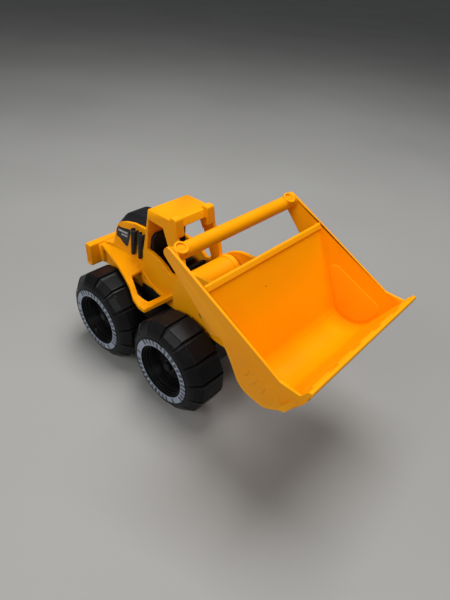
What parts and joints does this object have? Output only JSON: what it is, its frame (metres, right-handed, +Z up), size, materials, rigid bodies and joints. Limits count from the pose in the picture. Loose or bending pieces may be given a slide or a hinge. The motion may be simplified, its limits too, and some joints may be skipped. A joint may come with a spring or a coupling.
{
  "type": "toy wheel loader",
  "caption": "Toy wheel loader with big lugged wheels, open cab, crowned hood and a wide hinged bucket that carries a cross handle.",
  "frame": {"origin": "under the middle of the bounding box, on the ground", "axes": "+X forward towards the bucket, +Y the loader's left, +Z up"},
  "size_m": [0.2506, 0.1212, 0.1598],
  "materials": {
    "yellow_shell": "satin-gloss moulded",
    "yellow_bucket": "satin-gloss moulded",
    "black_trim": "satin moulded",
    "black_interior": "matte moulded",
    "black_chassis": "matte moulded",
    "black_hub": "satin moulded",
    "tyre_moulding": "semi-gloss blow moulded",
    "label": "printed film",
    "steel": "plated"
  },
  "bodies": {
    "body": {"body_shell": "yellow_shell", "hood_cover": "black_trim", "exhausts_left": "black_trim", "exhausts_right": "black_trim", "hood_label_left": "label", "hood_label_right": "label", "cab_shell": "yellow_shell", "cab_seat": "black_interior", "cross_barrel": "yellow_shell", "hinge_pin": "steel", "chassis": "black_chassis", "chassis_screws": "steel", "axle_keeper_front": "black_chassis", "axle_keeper_rear": "black_chassis", "keeper_screws": "steel"},
    "front_wheels": {"axle_front": "steel", "tyre_front_left": "tyre_moulding", "tyre_front_right": "tyre_moulding", "hub_front_left": "black_hub", "hub_front_right": "black_hub", "axle_caps_front": "black_hub"},
    "rear_wheels": {"axle_rear": "steel", "tyre_rear_left": "tyre_moulding", "tyre_rear_right": "tyre_moulding", "hub_rear_left": "black_hub", "hub_rear_right": "black_hub", "axle_caps_rear": "black_hub"},
    "bucket": {"bucket": "yellow_bucket", "lift_arm_left": "yellow_bucket", "lift_arm_right": "yellow_bucket", "handle_bar": "yellow_bucket"}
  },
  "joints": [
    {"name": "bucket_hinge", "type": "hinge", "parent": "body", "child": "bucket", "pos_m": [0.0102, 0, 0.0848], "axis": [0, 1, 0], "range_deg": [-12, 60]},
    {"name": "front_axle_spin", "type": "hinge", "parent": "body", "child": "front_wheels", "pos_m": [-0.001, 0, 0.04], "axis": [0, 1, 0], "continuous": true},
    {"name": "rear_axle_spin", "type": "hinge", "parent": "body", "child": "rear_wheels", "pos_m": [-0.084, 0, 0.04], "axis": [0, 1, 0], "continuous": true}
  ]
}
